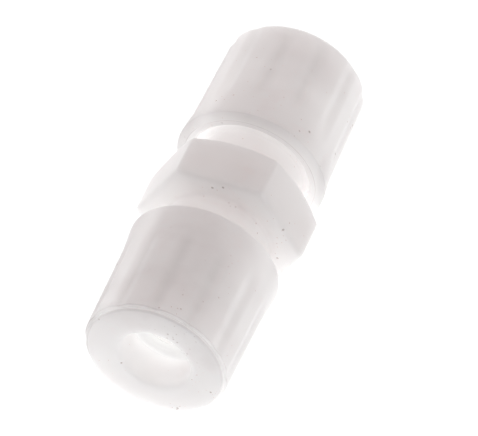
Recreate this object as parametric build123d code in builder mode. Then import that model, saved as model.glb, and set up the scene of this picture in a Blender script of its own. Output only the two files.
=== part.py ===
"""Straight union for 8 mm plastic tube: a hexagonal body with a fluted nut screwed on each end.

The origin is the middle of the hexagon. +X runs along the tube and +Z is square to the upper flat.
Every piece of an end is modelled on the +X side. The -X end is the same pieces turned half round
about Z, so both threads stay right-handed.
"""
import os
from math import cos, radians, tan

from build123d import *

os.makedirs("parts", exist_ok=True)

# ---- the tube and the room round it ----
tube_diameter = 8.0
tube_play = 0.06
tube_bore = tube_diameter / 2 + tube_play
through_bore = 3.0

# ---- body ----
across_flats = 17.0
hex_half_length = 2.95
hex_chamfer_angle = 30.0
neck_radius = 6.05
neck_end = 7.3
body_end = 15.6
tube_stop = 3.6
seal_chamber_radius = 5.2
seal_chamber_floor = 12.4
edge_break = 0.3
hex_edge_round = 0.25

# ---- thread, shared by the body and the nuts ----
pitch = 2.0
thread_major = 6.8
thread_minor = 6.0
thread_play = 0.1
ridge_root_width = 1.2
ridge_tip_width = 0.5
ridge_overlap = 0.15
nut_ridge_root_width = 1.3
nut_ridge_tip_width = 0.66

# ---- nut ----
nut_base = 6.92
nut_end = 22.5
collar_radius = 8.78
base_chamfer_radial = 0.98
base_chamfer_axial = 0.52
collar_slope_end = 10.6
rib_radius_at_collar = 8.45
rib_radius_at_end = 8.22
rib_end = 22.0
rib_end_round = 0.25
core_radius = 7.85
end_round = 0.45
collar_round = 0.15
collar_blend = 12.0
flute_count = 12
flute_radius = 1.4
flute_floor_step = 0.03
flute_start = 10.4
first_flute_right = 1.5
first_flute_left = -4.0
mouth_round = 0.6
nut_thread_end = 15.0
cone_start = 16.3
cone_end = 18.3
cone_wide_radius = 6.35
cone_narrow_radius = 5.0

# ---- rings inside an end ----
ring_play = 0.05
seal_thickness = 1.12
seal_centre = 13.05
thrust_start = 13.7
thrust_flange_start = body_end + ring_play
thrust_end = 16.35
thrust_flange_radius = 5.9
ring_edge_round = 0.15
grip_start = 16.45
grip_end = 18.2
grip_slit = 1.2
grip_slit_side = -1
grip_bore = 4.5
tooth_count = 3
tooth_tip = 4.09
cone_play = 0.1

# Local axes for the +X end: "across" looks along the tube, "section" holds a profile to be revolved.
across = Plane(origin=(0, 0, 0), x_dir=(0, 1, 0), z_dir=(1, 0, 0))
section = Plane(origin=(0, 0, 0), x_dir=(1, 0, 0), z_dir=(0, -1, 0))


def cone_radius(station):
    """Radius of the nut's inner cone at a distance along the axis."""
    share = (station - cone_start) / (cone_end - cone_start)
    return cone_wide_radius + share * (cone_narrow_radius - cone_wide_radius)


def helical_ridge(root_radius, tip_radius, root_width, tip_width, start, end):
    """One helical thread ridge about X, from a root radius out or in to a tip radius."""
    height = tip_radius - root_radius
    with BuildPart() as worm:
        with BuildLine() as route:
            Helix(pitch, end - start, root_radius, center=(start, 0, 0), direction=(1, 0, 0))
        first = route.line @ 0
        outward = Vector(0, first.Y, first.Z).normalized()
        with BuildSketch(Plane(first, x_dir=(1, 0, 0), z_dir=Vector(1, 0, 0).cross(outward))):
            with BuildLine():
                Polyline(
                    (-root_width / 2, 0),
                    (root_width / 2, 0),
                    (tip_width / 2, height),
                    (-tip_width / 2, height),
                    close=True,
                )
            make_face()
        sweep(path=route.line, is_frenet=True)
    return worm.part


# ---- body: hexagon, two necks, two threads, two sockets, one through bore ----
male_ridge_start = neck_end + ridge_root_width / 2
thread_depth = thread_major - thread_minor

# The ridge keeps what lies inside this ring, so that it tapers in at both ends of the thread.
with BuildPart() as male_thread:
    with BuildSketch(section):
        with BuildLine():
            Polyline(
                (neck_end, thread_minor - 2 * ridge_overlap),
                (neck_end, thread_minor),
                (neck_end + thread_depth, thread_major),
                (body_end - thread_depth, thread_major),
                (body_end, thread_minor),
                (body_end, thread_minor - 2 * ridge_overlap),
                close=True,
            )
        make_face()
    revolve(axis=Axis.X)
    add(
        helical_ridge(
            thread_minor - ridge_overlap,
            thread_major,
            ridge_root_width,
            ridge_tip_width,
            male_ridge_start,
            body_end + pitch,
        ),
        mode=Mode.INTERSECT,
    )

with BuildPart() as body_half:
    with BuildSketch(section):
        with BuildLine():
            Polyline(
                (0, through_bore),
                (tube_stop, through_bore),
                (tube_stop, tube_bore),
                (seal_chamber_floor, tube_bore),
                (seal_chamber_floor, seal_chamber_radius),
                (body_end - edge_break, seal_chamber_radius),
                (body_end, seal_chamber_radius + edge_break),
                (body_end, thread_minor),
                (neck_end, thread_minor),
                (neck_end, neck_radius),
                (0, neck_radius),
                close=True,
            )
        make_face()
    revolve(axis=Axis.X)
    add(male_thread.part)

# A cone cuts back the corners of the hexagon along its -X edge only.
corner_radius = across_flats / 2 / cos(radians(30))
corner_height = corner_radius - across_flats / 2
chamfer_depth = corner_height * tan(radians(hex_chamfer_angle))
with BuildPart() as corner_cone:
    with BuildSketch(section):
        with BuildLine():
            Polyline(
                (-hex_half_length - edge_break, across_flats / 2),
                (-hex_half_length, across_flats / 2),
                (-hex_half_length + 2 * chamfer_depth, across_flats / 2 + 2 * corner_height),
                (-hex_half_length - edge_break, across_flats / 2 + 2 * corner_height),
                close=True,
            )
        make_face()
    revolve(axis=Axis.X)

with BuildPart() as union_body:
    with BuildSketch(across.offset(-hex_half_length)):
        RegularPolygon(across_flats / 2, 6, major_radius=False)
        Circle(tube_bore, mode=Mode.SUBTRACT)
    extrude(amount=2 * hex_half_length)
    fillet(union_body.edges().filter_by(Axis.X), hex_edge_round)
    add(corner_cone.part, mode=Mode.SUBTRACT)
    add(body_half.part)
    add(body_half.part.rotate(Axis.Z, 180))
union_body.part.label = "union_body"
export_step(union_body.part, "parts/union_body.step")

# ---- nut: collar, ribs between flutes, inner thread, inner cone and mouth ----
female_root = thread_major + thread_play

with BuildPart() as flute:
    with BuildSketch(across.offset(flute_start)):
        with Locations((0, core_radius + flute_floor_step + flute_radius)):
            Circle(flute_radius)
    extrude(amount=nut_end)
    with Locations((flute_start, 0, core_radius + flute_floor_step + flute_radius)):
        Sphere(flute_radius)


def fluted_nut(first_flute):
    """The whole nut, with its first flute turned about X by an angle in degrees."""
    with BuildPart() as nut:
        with BuildSketch(section) as nut_profile:
            with BuildLine():
                Polyline(
                    (nut_base, collar_radius - base_chamfer_radial),
                    (nut_base + base_chamfer_axial, collar_radius),
                    (collar_slope_end, rib_radius_at_collar),
                    (rib_end, rib_radius_at_end),
                    (rib_end, core_radius),
                    (nut_end, core_radius),
                    (nut_end, tube_bore),
                    (cone_end, tube_bore),
                    (cone_end, cone_narrow_radius),
                    (cone_start, cone_wide_radius),
                    (cone_start, female_root),
                    (nut_base + edge_break, female_root),
                    (nut_base, female_root + edge_break),
                    close=True,
                )
            make_face()
            for corner, size in (
                ((nut_base + base_chamfer_axial, collar_radius), collar_round),
                ((collar_slope_end, rib_radius_at_collar), collar_blend),
                ((rib_end, rib_radius_at_end), rib_end_round),
                ((nut_end, core_radius), end_round),
                ((nut_end, tube_bore), mouth_round),
            ):
                fillet(nut_profile.vertices().sort_by_distance(corner)[0], size)
        revolve(axis=Axis.X)
        for index in range(flute_count):
            turn = first_flute + index * 360 / flute_count
            add(flute.part.rotate(Axis.X, turn), mode=Mode.SUBTRACT)
        add(
            helical_ridge(
                female_root + ridge_overlap,
                thread_minor + thread_play,
                nut_ridge_root_width,
                nut_ridge_tip_width,
                male_ridge_start + pitch / 2,
                nut_thread_end,
            )
        )
    return nut.part


# ---- seal ring in the body's chamber ----
with BuildPart() as seal_ring:
    with BuildSketch(section):
        with Locations((seal_centre, (tube_bore + seal_chamber_radius) / 2)):
            Circle(seal_thickness / 2)
    revolve(axis=Axis.X)

# ---- thrust ring: its sleeve closes the chamber and its flange backs the grip ring ----
with BuildPart() as thrust_ring:
    with BuildSketch(section) as thrust_profile:
        with BuildLine():
            Polyline(
                (thrust_start, tube_bore + ring_play),
                (thrust_end, tube_bore + ring_play),
                (thrust_end, thrust_flange_radius),
                (thrust_flange_start, thrust_flange_radius),
                (thrust_flange_start, seal_chamber_radius - ring_play),
                (thrust_start, seal_chamber_radius - ring_play),
                close=True,
            )
        make_face()
        for corner in ((thrust_end, thrust_flange_radius), (thrust_flange_start, thrust_flange_radius)):
            fillet(thrust_profile.vertices().sort_by_distance(corner)[0], ring_edge_round)
    revolve(axis=Axis.X)

# ---- grip ring: a split cone with teeth that let the tube in and hold it from coming out ----
tooth_pitch = (grip_end - grip_start - edge_break) / tooth_count
tooth_points = []
for index in range(tooth_count):
    tooth_start = grip_start + index * tooth_pitch
    tooth_points += [(tooth_start, tooth_tip), (tooth_start + tooth_pitch, grip_bore)]

with BuildPart() as grip_ring:
    with BuildSketch(section):
        with BuildLine():
            Polyline(
                *tooth_points,
                (grip_end, grip_bore),
                (grip_end, cone_radius(grip_end) - cone_play),
                (grip_start, cone_radius(grip_start) - cone_play),
                close=True,
            )
        make_face()
    revolve(axis=Axis.X)
    with BuildSketch(across.offset(grip_start - edge_break)):
        with Locations((grip_slit_side * cone_wide_radius, 0)):
            Rectangle(2 * cone_wide_radius - tube_bore, grip_slit)
    extrude(amount=grip_end - grip_start + 2 * edge_break, mode=Mode.SUBTRACT)

# ---- both ends: the pieces as modelled on the +X side, and turned half round about Z on the -X side ----
for side_name, half_turn, first_flute in (("right", 0, first_flute_right), ("left", 180, first_flute_left)):
    end_pieces = {
        "union_nut": fluted_nut(first_flute),
        "seal_ring": seal_ring.part,
        "thrust_ring": thrust_ring.part,
        "grip_ring": grip_ring.part,
    }
    for piece_name, piece in end_pieces.items():
        placed = piece.rotate(Axis.Z, half_turn)
        placed.label = f"{piece_name}_{side_name}"
        export_step(placed, f"parts/{placed.label}.step")
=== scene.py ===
import math

import bpy
import numpy as np
from mathutils import Matrix, Vector


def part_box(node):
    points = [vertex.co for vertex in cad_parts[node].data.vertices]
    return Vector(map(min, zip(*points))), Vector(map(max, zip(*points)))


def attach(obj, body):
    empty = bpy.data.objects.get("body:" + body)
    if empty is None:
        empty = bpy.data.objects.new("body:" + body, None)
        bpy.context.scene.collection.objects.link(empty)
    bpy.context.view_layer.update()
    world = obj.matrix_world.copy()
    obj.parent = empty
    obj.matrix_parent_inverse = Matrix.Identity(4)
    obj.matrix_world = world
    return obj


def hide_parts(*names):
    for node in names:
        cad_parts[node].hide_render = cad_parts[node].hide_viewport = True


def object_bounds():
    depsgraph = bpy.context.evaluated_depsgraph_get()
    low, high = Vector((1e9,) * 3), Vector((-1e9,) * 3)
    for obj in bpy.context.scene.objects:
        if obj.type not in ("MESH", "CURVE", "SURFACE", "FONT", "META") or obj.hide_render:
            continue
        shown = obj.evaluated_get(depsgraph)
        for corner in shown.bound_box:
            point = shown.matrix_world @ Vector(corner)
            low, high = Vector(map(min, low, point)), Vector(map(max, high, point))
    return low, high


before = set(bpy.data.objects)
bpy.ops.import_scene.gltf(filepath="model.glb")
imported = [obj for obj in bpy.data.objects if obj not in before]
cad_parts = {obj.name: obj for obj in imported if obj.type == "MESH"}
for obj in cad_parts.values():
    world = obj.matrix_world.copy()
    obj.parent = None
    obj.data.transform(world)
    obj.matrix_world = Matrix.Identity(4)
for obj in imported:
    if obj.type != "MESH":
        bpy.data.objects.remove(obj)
cad_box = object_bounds()

MM = 0.001
TAU = 2 * math.pi
UPWARD = math.pi / 2  # the angle of +Z about the axis, counted from +Y
MICRON = 0.001  # how near two lengths in millimetres have to be to count as the same

# ---- sizes in millimetres: what the box of each node gives, and the CAD's own driving dimensions ----
body_low, body_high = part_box("union_body")
nut_low, nut_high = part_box("union_nut_right")
body_end = body_high.x / MM
nut_base, nut_end = nut_low.x / MM, nut_high.x / MM
across_flats = (body_high.z - body_low.z) / MM
collar_radius = nut_high.z / MM

hex_half_length = 2.95
hex_half_corner = math.radians(30)
hex_corner_round = 0.6
hex_face_circle = across_flats / 2 - 0.1
hex_chamfer_slope = math.tan(math.radians(30))
neck_radius = 6.05
neck_end = 7.3
through_bore = 3.0
tube_bore = 4.06
tube_stop = 3.6
chamber_radius = 5.2
chamber_floor = 12.4
edge_break = 0.3

pitch = 2.0
male_minor = 6.0
female_root = 6.9
ridge_height = 0.8
male_ridge_widths = 1.2, 0.5
female_ridge_widths = 1.3, 0.66
male_ridge_start = neck_end + male_ridge_widths[0] / 2
female_ridge_start = male_ridge_start + pitch / 2
female_ridge_end = 15.0
female_ridge_taper = 0.2

base_chamfer_radial = 0.98
base_chamfer_axial = 0.52
collar_slope_end = 10.6
rib_radius_at_collar = 8.45
rib_radius_at_end = 8.22
rib_end = 22.0
rib_end_slant = 0.12
core_radius = 7.85
cone_start, cone_end = 16.3, 18.3
cone_edge_round = 0.06
cone_wide_radius, cone_narrow_radius = 6.35, 5.0

# The visual flutes are softer than the CAD's, and run out into the collar.
flute_count = 12
flute_half_width = 1.2
flute_depth_share = 0.45
flute_start = 9.6
flute_full = 13.5
first_flute = {"right": math.radians(1.5), "left": math.radians(-4.0)}

# How fine the meshes are. The body's columns crowd toward the corners of its hexagon.
nut_columns = 432
columns_per_corner = 48
evenly_spread_share = 0.15
round_rows = 5


# ---- meshes ----
def rounded_profile(corners):
    """Rows of a closed profile in (x, r), each corner rounded, and each row's painted edge shade from 0 to 1.

    A corner is (x, r, setback, rows, edge_shade_strength): its place, how far from it the rounding starts,
    how many rows the straight stretch after it takes, and how strongly its edge is painted with a dark line
    of shade.
    x and r may be arrays, one value for each column.
    """
    places = [np.stack(np.broadcast_arrays(x, r)).astype(float).reshape(2, -1) for x, r, *_ in corners]
    width = max(place.shape[1] for place in places)
    places = [np.broadcast_to(place, (2, width)) for place in places]
    starts, ends = [], []
    for index, (_, _, setback, _, _) in enumerate(corners):
        here = places[index]
        for far, found in ((places[index - 1], starts), (places[(index + 1) % len(corners)], ends)):
            span = far - here
            found.append(here + span / np.linalg.norm(span, axis=0) * setback)
    rows, edge_shade = [], []
    for index, (_, _, _, count, edge_shade_strength) in enumerate(corners):
        for share in np.linspace(0, 1, round_rows):
            before, after = 1 - share, share
            inner, outer = before**2 * starts[index], after**2 * ends[index]
            rows.append(inner + 2 * before * after * places[index] + outer)
            # Painted shade: each rounded edge gets a dark line, strongest at the middle of the rounding.
            edge_shade.append(edge_shade_strength * 4 * before * after)
        next_start = starts[(index + 1) % len(corners)]
        for step in range(1, count):
            rows.append(ends[index] + (next_start - ends[index]) * step / count)
            edge_shade.append(0.0)
    rows = np.array(rows)
    return rows[:, 0], rows[:, 1], np.array(edge_shade)


def ring_piece(name, x, r, angle, marks, half_turn=False):
    """A closed ring as one object. Row s, column t of it is x[s, t] along the axis and r[s, t] from it.

    Marks are named strengths from 0 to 1 on the same grid, for the materials to read.
    """
    rows, columns = x.shape
    points = np.stack([x, r * np.cos(angle), r * np.sin(angle)], axis=2).reshape(-1, 3) * MM
    if half_turn:
        points[:, :2] *= -1
    s, t = np.meshgrid(np.arange(rows), np.arange(columns), indexing="ij")
    s_next, t_next = (s + 1) % rows, (t + 1) % columns
    corners = [s * columns + t, s_next * columns + t, s_next * columns + t_next, s * columns + t_next]
    mesh = bpy.data.meshes.new(name)
    mesh.from_pydata(points.tolist(), [], np.stack(corners, axis=2).reshape(-1, 4).tolist())
    for mark, strength in marks.items():
        strength = np.broadcast_to(strength, x.shape).ravel()
        mesh.attributes.new(mark, "FLOAT", "POINT").data.foreach_set("value", strength)
    mesh.shade_smooth()
    piece = bpy.data.objects.new(name, mesh)
    bpy.context.scene.collection.objects.link(piece)
    return piece


def smooth_step(share):
    """Eases from 0 to 1 as the share goes from 0 to 1."""
    share = np.clip(share, 0, 1)
    return share * share * (3 - 2 * share)


def thread_ridge(x, angle, start, widths):
    """How far a right-handed thread stands out at each point, in millimetres."""
    turns = (x - start) / pitch - (angle - UPWARD) / TAU
    off_crest = np.abs(turns - np.round(turns)) * pitch
    root_width, tip_width = widths
    return ridge_height * smooth_step((root_width - 2 * off_crest) / (root_width - tip_width))


def male_thread(x, angle):
    """Height of the thread on the +X end of the body, which tapers in at both ends."""
    room = np.clip(np.minimum(x - neck_end, body_end - x), 0, ridge_height)
    return np.minimum(thread_ridge(x, angle, male_ridge_start, male_ridge_widths), room)


def make_body():
    """Hexagon with a chamfer on its -X edge, two necks, two threads, and the bores."""
    step = np.linspace(-1, 1, columns_per_corner, endpoint=False)
    off_corner = hex_half_corner * (evenly_spread_share * step + (1 - evenly_spread_share) * step**3)
    angle = np.concatenate([off_corner + 2 * hex_half_corner * corner for corner in range(6)])
    off_corner = np.tile(off_corner, 6)

    # Each corner is an arc about round_centre until arc_end, and flat from there on.
    apothem = across_flats / 2
    round_centre = (apothem - hex_corner_round) / math.cos(hex_half_corner)
    arc_end = math.atan2(
        hex_corner_round * math.sin(hex_half_corner),
        round_centre + hex_corner_round * math.cos(hex_half_corner),
    )
    inside = np.maximum(hex_corner_round**2 - (round_centre * np.sin(off_corner)) ** 2, 0)
    arc_radius = round_centre * np.cos(off_corner) + np.sqrt(inside)
    flat_radius = apothem / np.cos(hex_half_corner - np.abs(off_corner))
    hex_radius = np.where(np.abs(off_corner) < arc_end, arc_radius, flat_radius)
    chamfer_x = -hex_half_length + (hex_radius - hex_face_circle) * hex_chamfer_slope

    def end_corners(side):
        return [
            (side * neck_end, male_minor, 0.04, 72, 0),
            (side * body_end, male_minor, 0.08, 3, 0.5),
            (side * body_end, chamber_radius + edge_break, 0.05, 1, 0.5),
            (side * (body_end - edge_break), chamber_radius, 0.05, 6, 0.5),
            (side * chamber_floor, chamber_radius, 0.05, 3, 0),
            (side * chamber_floor, tube_bore, 0.05, 10, 0.5),
            (side * tube_stop, tube_bore, 0.05, 3, 0),
            (side * tube_stop, through_bore, 0.05, 10, 0.5),
        ]

    # The profile runs back in along the near end, so there each corner's row count moves on by one.
    near = end_corners(1)[::-1]
    counts = [corner[3] for corner in near[1:]] + [4]
    near = [(x, r, setback, count, edge_shade_strength) for (x, r, setback, _, edge_shade_strength), count in zip(near, counts)]
    corners = [
        (hex_half_length, neck_radius, 0.5, 6, 0),
        (hex_half_length, hex_radius, 0.7, 12, 0),
        (chamfer_x, hex_radius, 0.06, 3, 0.4),
        (-hex_half_length, hex_face_circle, 0.06, 6, 0.4),
        (-hex_half_length, neck_radius, 0.12, 5, 0),
        *end_corners(-1),
        *near,
    ]
    x, r, edge_shade = rounded_profile(corners)
    angle = np.broadcast_to(angle, x.shape)
    on_thread = (np.abs(x) > neck_end) & (np.abs(r - male_minor) < MICRON)
    ridges = np.where(x > 0, male_thread(x, angle), male_thread(-x, math.pi - angle))
    r = r + np.where(on_thread, ridges, 0)
    # The mark is painted shade: dark lines along the rounded edges.
    return ring_piece("body_moulding", x, r, angle, {"edge_shade": edge_shade[:, None]})


def make_nut(side):
    """Collar, flutes that run out into it, mouth, cone and inner thread."""
    corners = [
        (nut_base, collar_radius - base_chamfer_radial, 0.07, 4, 0.6),
        (nut_base + base_chamfer_axial, collar_radius, 0.12, 26, 0.1),
        (collar_slope_end, rib_radius_at_collar, 0.5, 23, 0),
        (rib_end, rib_radius_at_end, 0.16, 3, 0.5),
        (rib_end + rib_end_slant, core_radius, 0.05, 1, 0),
        (nut_end, core_radius, 0.28, 8, 0.55),
        (nut_end, tube_bore, 0.6, 8, 0),
        (cone_end, tube_bore, cone_edge_round, 3, 0.5),
        (cone_end, cone_narrow_radius, cone_edge_round, 6, 0),
        (cone_start, cone_wide_radius, cone_edge_round, 2, 0),
        (cone_start, female_root, cone_edge_round, 84, 0),
        (nut_base + edge_break, female_root, 0.05, 2, 0.3),
        (nut_base, female_root + edge_break, 0.05, 3, 0.3),
    ]
    x, r, edge_shade = rounded_profile(corners)
    angle = np.linspace(0, TAU, nut_columns, endpoint=False)
    x, r, angle = np.broadcast_arrays(x, r, angle)

    flute_step = TAU / flute_count
    off_flute = (angle - UPWARD - first_flute[side] + flute_step / 2) % flute_step - flute_step / 2
    share = smooth_step(1 - np.abs(off_flute) * core_radius / flute_half_width)
    share = share * smooth_step((x - flute_start) / (flute_full - flute_start))
    outside = (x < rib_end + rib_end_slant) & (r > core_radius)
    hollow = np.where(outside, share, 0)
    r = r - flute_depth_share * np.maximum(r - core_radius, 0) * hollow

    turns = (x - female_ridge_start) / pitch - (angle - UPWARD) / TAU
    crest_x = x - (turns - np.round(turns)) * pitch
    room = np.minimum(crest_x - female_ridge_start, female_ridge_end - crest_x)
    within = np.clip(room / female_ridge_taper + 0.5, 0, 1)
    ridges = thread_ridge(x, angle, female_ridge_start, female_ridge_widths) * within
    on_thread = (np.abs(r - female_root) < MICRON) & (x < cone_start - cone_edge_round)
    r = r - np.where(on_thread, ridges, 0)
    # The first mark is painted shade, dark lines along the rounded edges; hollow says where the flutes are.
    marks = {"edge_shade": edge_shade[:, None], "hollow": hollow}
    return ring_piece(f"nut_moulding_{side}", x, r, angle, marks, half_turn=side == "left")


# ---- materials ----
class Nodes:
    """Short calls for building one material's node tree."""

    def __init__(self, name):
        self.material = bpy.data.materials.new(name)
        self.material.use_nodes = True
        self.tree = self.material.node_tree
        self.shader = self.tree.nodes["Principled BSDF"]
        self.place = self.add("ShaderNodeTexCoord").outputs["Object"]

    def add(self, kind, **settings):
        node = self.tree.nodes.new(kind)
        for key, value in settings.items():
            setattr(node, key, value)
        return node

    def join(self, source, target):
        self.tree.links.new(source, target)

    def mark(self, name):
        """The strength of a mark that ring_piece left on the mesh, and 0 on a mesh without it."""
        return self.add("ShaderNodeAttribute", attribute_name=name).outputs["Fac"]

    def noise(self, scale, detail=3.0, stretch=(1, 1, 1)):
        """Noise from 0 to 1, with scale in features per metre."""
        mapping = self.add("ShaderNodeMapping")
        mapping.inputs["Scale"].default_value = stretch
        self.join(self.place, mapping.inputs["Vector"])
        texture = self.add("ShaderNodeTexNoise")
        texture.inputs["Scale"].default_value = scale
        texture.inputs["Detail"].default_value = detail
        self.join(mapping.outputs["Vector"], texture.inputs["Vector"])
        return texture.outputs["Fac"]

    def spread(self, value, low, high, to_low=0.0, to_high=1.0):
        """Maps low..high to to_low..to_high, clamped."""
        node = self.add("ShaderNodeMapRange")
        for name, number in (("From Min", low), ("From Max", high), ("To Min", to_low), ("To Max", to_high)):
            node.inputs[name].default_value = number
        self.join(value, node.inputs["Value"])
        return node.outputs["Result"]

    def blend(self, share, colour_a, colour_b):
        """Mixes two colours, each a tuple or a socket."""
        node = self.add("ShaderNodeMix", data_type="RGBA")
        self.join(share, node.inputs["Factor"])
        # A Mix node has sockets for other kinds too: these two, and output 2, are the ones for colours.
        for socket, colour in ((node.inputs[6], colour_a), (node.inputs[7], colour_b)):
            if isinstance(colour, tuple):
                socket.default_value = (*colour, 1)
            else:
                self.join(colour, socket)
        return node.outputs[2]

    def multiply(self, product, *factors):
        for factor in factors:
            node = self.add("ShaderNodeMath", operation="MULTIPLY")
            self.join(product, node.inputs[0])
            self.join(factor, node.inputs[1])
            product = node.outputs["Value"]
        return product

    def plus(self, a, b, factor):
        """a + factor * b"""
        node = self.add("ShaderNodeMath", operation="MULTIPLY_ADD")
        self.join(b, node.inputs[0])
        node.inputs[1].default_value = factor
        self.join(a, node.inputs[2])
        return node.outputs["Value"]

    def size_of(self, value):
        node = self.add("ShaderNodeMath", operation="ABSOLUTE")
        self.join(value, node.inputs[0])
        return node.outputs["Value"]

    def millimetres(self):
        """Where the shaded point is on its piece at rest: named distances in millimetres."""
        scaled = self.add("ShaderNodeVectorMath", operation="SCALE")
        self.join(self.place, scaled.inputs["Vector"])
        scaled.inputs["Scale"].default_value = 1 / MM
        split = self.add("ShaderNodeSeparateXYZ")
        self.join(scaled.outputs["Vector"], split.inputs["Vector"])
        flattened = self.add("ShaderNodeVectorMath", operation="MULTIPLY")
        self.join(scaled.outputs["Vector"], flattened.inputs[0])
        flattened.inputs[1].default_value = (0, 1, 1)
        length = self.add("ShaderNodeVectorMath", operation="LENGTH")
        self.join(flattened.outputs["Vector"], length.inputs[0])
        axial, sideways, height = split.outputs
        return {
            "axial": axial,
            "from_middle": self.size_of(axial),
            "sideways": sideways,
            "from_top": self.size_of(sideways),
            "height": height,
            "off_axis": length.outputs["Value"],
        }

    def bump(self, height, strength, distance, under=None):
        """A bump from a height, on top of another bump's normal if there is one."""
        node = self.add("ShaderNodeBump")
        node.inputs["Strength"].default_value = strength
        node.inputs["Distance"].default_value = distance
        self.join(height, node.inputs["Height"])
        if under:
            self.join(under, node.inputs["Normal"])
        return node.outputs["Normal"]

    def specks(self, cell, radius, share):
        """1 on scattered specks and 0 elsewhere: at most one in a cell, in the given share of the cells."""
        texture = self.add("ShaderNodeTexVoronoi")
        texture.inputs["Scale"].default_value = 1 / cell
        self.join(self.place, texture.inputs["Vector"])
        within = self.spread(texture.outputs["Distance"], radius / cell, 0.5 * radius / cell)
        channels = self.add("ShaderNodeSeparateColor")
        self.join(texture.outputs["Color"], channels.inputs["Color"])
        chosen = self.spread(channels.outputs["Red"], share, share * 0.98)
        return self.multiply(within, chosen)


# Painted light and shade by place: where the plastic's emission is set above or below its level. Each row is
# an amount and then its ranges, and adds the amount times the product of the ranges. A range is (distance,
# start, end), and goes from 0 at start to 1 at end. The distance is one of Nodes.millimetres(), or the mark
# "hollow".
AWAY_FROM_LIGHT = (-0.07, ("sideways", -10, 10))
ON_NECK = ("off_axis", 7.2, 6.2)
BODY_PAINTED_LIGHT = {
    "to the right": AWAY_FROM_LIGHT,
    "to the top": (-0.072, ("height", -9, 9)),
    "to the near end": (-0.06, ("axial", -20, 20)),
    "off the top line": (0.015, ("from_top", 1, 5)),
    "neck": (-0.02, ON_NECK),
    "neck near the table": (-0.07, ON_NECK, ("off_axis", 5.4, 5.8), ("height", 3, -1)),
    "near face of the hexagon": (-0.018, ("off_axis", 6.2, 6.6), ("axial", 2.6, 2.9)),
}
OUTSIDE = ("off_axis", 7.6, 7.85)
INSIDE = ("off_axis", 7.85, 7.6)
NEAR_NUT = ("axial", -5, 5)
LEFT_SHOULDER = ("sideways", -4.1, -4.9)
LEFT_SIDE = ("sideways", -5.6, -7.2)
RIGHT_SIDE = ("sideways", 7.7, 8.2)
TOP_FLUTES = (("hollow", 0, 1), ("from_top", 6, 3))
NUT_PAINTED_LIGHT = {
    "to the right": AWAY_FROM_LIGHT,
    "along the top": (-0.044, ("height", 5, 8.5)),
    "off the top line": (0.012, ("from_top", 3, 6.5)),
    "near nut": (-0.02, ("axial", 4, 12)),
    "left shoulder": (0.04, OUTSIDE, LEFT_SHOULDER),
    "left shoulder, near nut": (0.03, OUTSIDE, LEFT_SHOULDER, NEAR_NUT),
    "left side": (-0.17, OUTSIDE, LEFT_SIDE),
    "left side, near nut": (-0.01, OUTSIDE, LEFT_SIDE, NEAR_NUT),
    "right shoulder, near nut": (0.025, OUTSIDE, ("sideways", 2.0, 3.6), NEAR_NUT),
    "right, near nut": (0.035, OUTSIDE, ("sideways", 4.8, 6.6), NEAR_NUT),
    "right side": (-0.065, OUTSIDE, RIGHT_SIDE),
    "right side, near nut": (0.015, OUTSIDE, RIGHT_SIDE, NEAR_NUT),
    # Painted shade in the flutes, as less emission.
    "flutes near the top": (-0.0168, *TOP_FLUTES),
    "flutes near the collar": (-0.0252, *TOP_FLUTES, ("from_middle", 21, 13)),
    "far end of the far nut": (0.05, OUTSIDE, ("axial", -9, -17)),
    "outside of the mouths": (0.035, OUTSIDE, ("from_middle", 17, 22)),
    "top of the faces": (-0.06, INSIDE, ("height", -2, 6)),
    "face of the far nut": (-0.13, INSIDE, ("axial", -15, -20)),
    "lower half of the bore": (0.035, ("off_axis", 5.2, 4.2), ("height", 2, -3)),
}
# The painted light's tint, and how much it gains toward the table below.
PAINTED_LIGHT_TINT = (0.98, 1.0, 1.0)
TABLE_HEIGHT = -9
PAINTED_TABLE_LIGHT = 0.05  # what the level gains from the axis down to the table
MOTTLING = 0.016

# Specks in the plastic: the size in millimetres of the cells that may hold one, its radius, the share of the
# cells that do, and its colour.
SPECKS = (
    (1.4, 0.2, 0.16, (0.50, 0.46, 0.44)),
    (0.8, 0.15, 0.2, (0.66, 0.62, 0.61)),
    (0.7, 0.12, 0.3, (0.72, 0.68, 0.67)),
)
# The colour of the painted shade along the rounded edges.
EDGE_SHADE_COLOUR = (0.50, 0.48, 0.48)
ALONG_THE_AXIS = (0.08, 1, 1)


def darker(colour, factor):
    return tuple(factor * part for part in colour)


def painted_light_by_place(nodes, places, level, rows):
    """Painted light and shade, as an emission: a level that grows toward the table, mottling, and the rows'
    amounts. The plastic's glow: a level that grows toward the table, mottling, and the rows' amounts.
    """
    painted_glow = nodes.spread(places["height"], 0, TABLE_HEIGHT, level, level + PAINTED_TABLE_LIGHT)
    mottling = nodes.spread(nodes.noise(650, 4.0, (1, 0.4, 0.4)), 0.3, 0.7, -MOTTLING, MOTTLING)
    painted_glow = nodes.plus(painted_glow, mottling, 1.0)
    shares = {}
    for amount, *ranges in rows.values():
        for distance, start, end in ranges:
            if (distance, start, end) not in shares:
                shares[distance, start, end] = nodes.spread(places[distance], start, end)
        painted_glow = nodes.plus(painted_glow, nodes.multiply(*(shares[key] for key in ranges)), amount)
    return painted_glow


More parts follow.
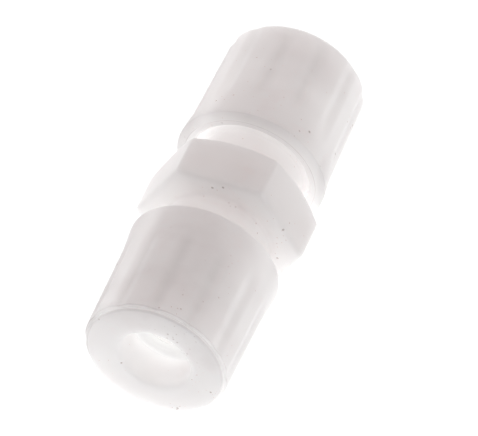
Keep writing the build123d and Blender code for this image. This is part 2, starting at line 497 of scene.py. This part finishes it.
def milky_plastic(name, tone, shade, level, rows=BODY_PAINTED_LIGHT, fluted=False):
    """Natural, unpigmented plastic: milky, satin, faintly clouded and streaked, with a few dark specks in it.

    The glow is painted light and shade, set by place: an emission that stands in for the light that reaches a
    place through the plastic and the shade where less does, and was fitted to the photo. Level is the glow
    where no row adds to it. Where a nut is fluted its colour is darker, as painted shade in the flutes, and
    so is the base chamfer of each nut. A dark, broken line is painted along the rounded edges as shade, and
    roughens them.
    """
    nodes = Nodes(name)
    shader = nodes.shader
    places = nodes.millimetres()
    clouds = nodes.spread(nodes.noise(230, 4.0), 0.35, 0.65)
    streaks = nodes.spread(nodes.noise(1100, 3.0, ALONG_THE_AXIS), 0.3, 0.7)
    colour = nodes.blend(clouds, shade, tone)
    colour = nodes.blend(nodes.multiply(streaks, clouds), colour, darker(tone, 0.965))
    if fluted:
        places["hollow"] = nodes.mark("hollow")
        # Painted shade in the flutes: their colour is darker.
        colour = nodes.blend(places["hollow"], colour, darker(tone, 0.92))
        # Painted shade on each nut's base chamfer: its colour is darker.
        at_base = nodes.spread(places["from_middle"], 7.6, 7.4)
        chamfer = nodes.multiply(at_base, nodes.spread(places["off_axis"], 7.72, 7.86))
        colour = nodes.blend(chamfer, colour, darker(tone, 0.95))
    # Painted shade: a dark, broken line along the rounded edges, from the mesh's edge mark; the same mask
    # makes the edges rougher.
    edge_shade_noise = nodes.spread(nodes.noise(500, 3.0), 0.25, 0.6, 0.35, 0.8)
    edge_shade_mask = nodes.multiply(nodes.mark("edge_shade"), edge_shade_noise)
    colour = nodes.blend(edge_shade_mask, colour, EDGE_SHADE_COLOUR)
    clusters = nodes.spread(nodes.noise(170, 1.0), 0.42, 0.55)
    for cell, radius, share, dark in SPECKS:
        specks = nodes.multiply(nodes.specks(cell * MM, radius * MM, share), clusters)
        colour = nodes.blend(specks, colour, dark)
    nodes.join(colour, shader.inputs["Base Color"])

    scuffs = nodes.spread(nodes.noise(900, 5.0, (0.35, 1, 1)), 0.3, 0.75, 0.34, 0.5)
    nodes.join(nodes.plus(scuffs, edge_shade_mask, 0.15), shader.inputs["Roughness"])
    # Painted light and shade: the emission, set by place.
    nodes.join(painted_light_by_place(nodes, places, level, rows), shader.inputs["Emission Strength"])
    shader.inputs["Emission Color"].default_value = (*PAINTED_LIGHT_TINT, 1)

    grain = nodes.bump(nodes.noise(3200, 4.0), strength=0.35, distance=0.006 * MM)
    waves = nodes.noise(420, 2.0, ALONG_THE_AXIS)
    ripple = nodes.bump(waves, strength=0.5, distance=0.02 * MM, under=grain)
    nodes.join(ripple, shader.inputs["Normal"])

    nodes.material.cycles.emission_sampling = "NONE"
    shader.inputs["IOR"].default_value = 1.45
    shader.inputs["Subsurface Weight"].default_value = 1.0
    shader.inputs["Subsurface Radius"].default_value = (1.0, 0.99, 0.98)
    shader.inputs["Subsurface Scale"].default_value = 3.5 * MM
    return nodes.material


def body_plastic():
    tone, shade = (0.91, 0.897, 0.893), (0.865, 0.843, 0.84)
    return milky_plastic("body_plastic", tone, shade, level=0.279)


def nut_plastic():
    tone, shade = (0.91, 0.897, 0.895), (0.85, 0.827, 0.827)
    return milky_plastic("nut_plastic", tone, shade, level=0.205, rows=NUT_PAINTED_LIGHT, fluted=True)


def grip_plastic():
    tone, shade = (0.92, 0.92, 0.92), (0.89, 0.885, 0.885)
    return milky_plastic("grip_plastic", tone, shade, level=0.231)


def ring_plastic():
    tone, shade = (0.92, 0.91, 0.90), (0.89, 0.88, 0.87)
    return milky_plastic("ring_plastic", tone, shade, level=0.261)


def seal_rubber():
    """Grey translucent rubber with a fine mat grain."""
    nodes = Nodes("seal_rubber")
    shader = nodes.shader
    colour = nodes.blend(nodes.noise(700, 4.0), (0.50, 0.49, 0.47), (0.62, 0.61, 0.59))
    nodes.join(colour, shader.inputs["Base Color"])
    nodes.join(nodes.spread(nodes.noise(2500), 0.3, 0.7, 0.55, 0.75), shader.inputs["Roughness"])
    nodes.join(nodes.bump(nodes.noise(5000), strength=0.4, distance=0.008 * MM), shader.inputs["Normal"])
    shader.inputs["Subsurface Weight"].default_value = 0.6
    shader.inputs["Subsurface Scale"].default_value = 1 * MM
    return nodes.material


def dress(piece, material):
    """Gives a piece one material in place of any it has."""
    piece.data.materials.clear()
    piece.data.materials.append(material)


# ---- surroundings ----
def floor_paper():
    """White paper lit from below, so it shows no shadow."""
    material = bpy.data.materials.new("floor_paper")
    material.use_nodes = True
    shader = material.node_tree.nodes["Principled BSDF"]
    shader.inputs["Base Color"].default_value = (0.25, 0.25, 0.25, 1)
    shader.inputs["Roughness"].default_value = 0.9
    shader.inputs["Specular IOR Level"].default_value = 0.0
    shader.inputs["Emission Color"].default_value = (1, 1, 1, 1)
    shader.inputs["Emission Strength"].default_value = 1.0
    return material


def make_floor():
    """A square light table under the union."""
    reach = 1.5
    height = cad_box[0][2]
    corners = [(x * reach, y * reach, height) for x, y in ((-1, -1), (1, -1), (1, 1), (-1, 1))]
    mesh = bpy.data.meshes.new("floor")
    mesh.from_pydata(corners, [], [(0, 1, 2, 3)])
    floor = bpy.data.objects.new("floor", mesh)
    bpy.context.scene.collection.objects.link(floor)
    mesh.materials.append(floor_paper())


def make_tent():
    """A light tent: brighter overhead and to the left, and darker toward the near end of the union."""
    level, toward_near, toward_right, overhead, straight_up = 0.20, -0.32, -0.04, 0.34, 0.33
    tint = (1.0, 0.90, 0.89)
    world = bpy.data.worlds.new("tent")
    world.use_nodes = True
    tree = world.node_tree
    background = tree.nodes["Background"]
    background.inputs["Color"].default_value = (*tint, 1)

    def combine(operation, *terms):
        node = tree.nodes.new("ShaderNodeMath")
        node.operation = operation
        for socket, term in zip(node.inputs, terms):
            if isinstance(term, (int, float)):
                socket.default_value = term
            else:
                tree.links.new(term, socket)
        return node.outputs["Value"]

    direction = tree.nodes.new("ShaderNodeTexCoord")
    split = tree.nodes.new("ShaderNodeSeparateXYZ")
    tree.links.new(direction.outputs["Generated"], split.inputs["Vector"])
    height = combine("MAXIMUM", split.outputs["Z"], 0.0)
    light = combine("MULTIPLY_ADD", combine("MAXIMUM", split.outputs["X"], 0.0), toward_near, level)
    light = combine("MULTIPLY_ADD", split.outputs["Y"], toward_right, light)
    light = combine("MULTIPLY_ADD", height, overhead, light)
    light = combine("MULTIPLY_ADD", combine("POWER", height, 4.0), straight_up, light)
    tree.links.new(combine("MAXIMUM", light, 0.0), background.inputs["Strength"])
    bpy.context.scene.world = world


def make_camera():
    """A long lens looking down the near end of the union."""
    azimuth = math.radians(109.784)
    elevation = math.radians(48.188)
    roll = math.radians(0.747)
    distance = 534.57 * MM
    aim_point = Vector((-0.238, 1.287, -0.193)) * MM
    toward = Vector((
        math.sin(azimuth) * math.cos(elevation),
        -math.cos(azimuth) * math.cos(elevation),
        math.sin(elevation),
    ))
    level = Vector((0, 0, 1)).cross(toward).normalized()
    upward = toward.cross(level)
    right = level * math.cos(roll) + upward * math.sin(roll)
    up = toward.cross(right)
    data = bpy.data.cameras.new("camera")
    data.lens = 365.41
    data.sensor_width = 36.0
    data.clip_start = 0.01
    data.clip_end = 10.0
    camera = bpy.data.objects.new("camera", data)
    bpy.context.scene.collection.objects.link(camera)
    place = aim_point + toward * distance
    camera.matrix_world = Matrix.Translation(place) @ Matrix((right, up, toward)).transposed().to_4x4()
    bpy.context.scene.camera = camera


# ---- the union ----
body = make_body()
dress(body, body_plastic())
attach(body, "root")
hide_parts("union_body")

nut_material = nut_plastic()
ring_materials = {"grip_ring": grip_plastic(), "thrust_ring": ring_plastic(), "seal_ring": seal_rubber()}
for side in ("right", "left"):
    nut = make_nut(side)
    dress(nut, nut_material)
    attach(nut, f"nut_{side}")
    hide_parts(f"union_nut_{side}")
    for ring, material in ring_materials.items():
        dress(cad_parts[f"{ring}_{side}"], material)

make_floor()
make_tent()
make_camera()
bpy.context.scene.view_settings.view_transform = "Standard"
bpy.context.scene.cycles.diffuse_bounces = 12
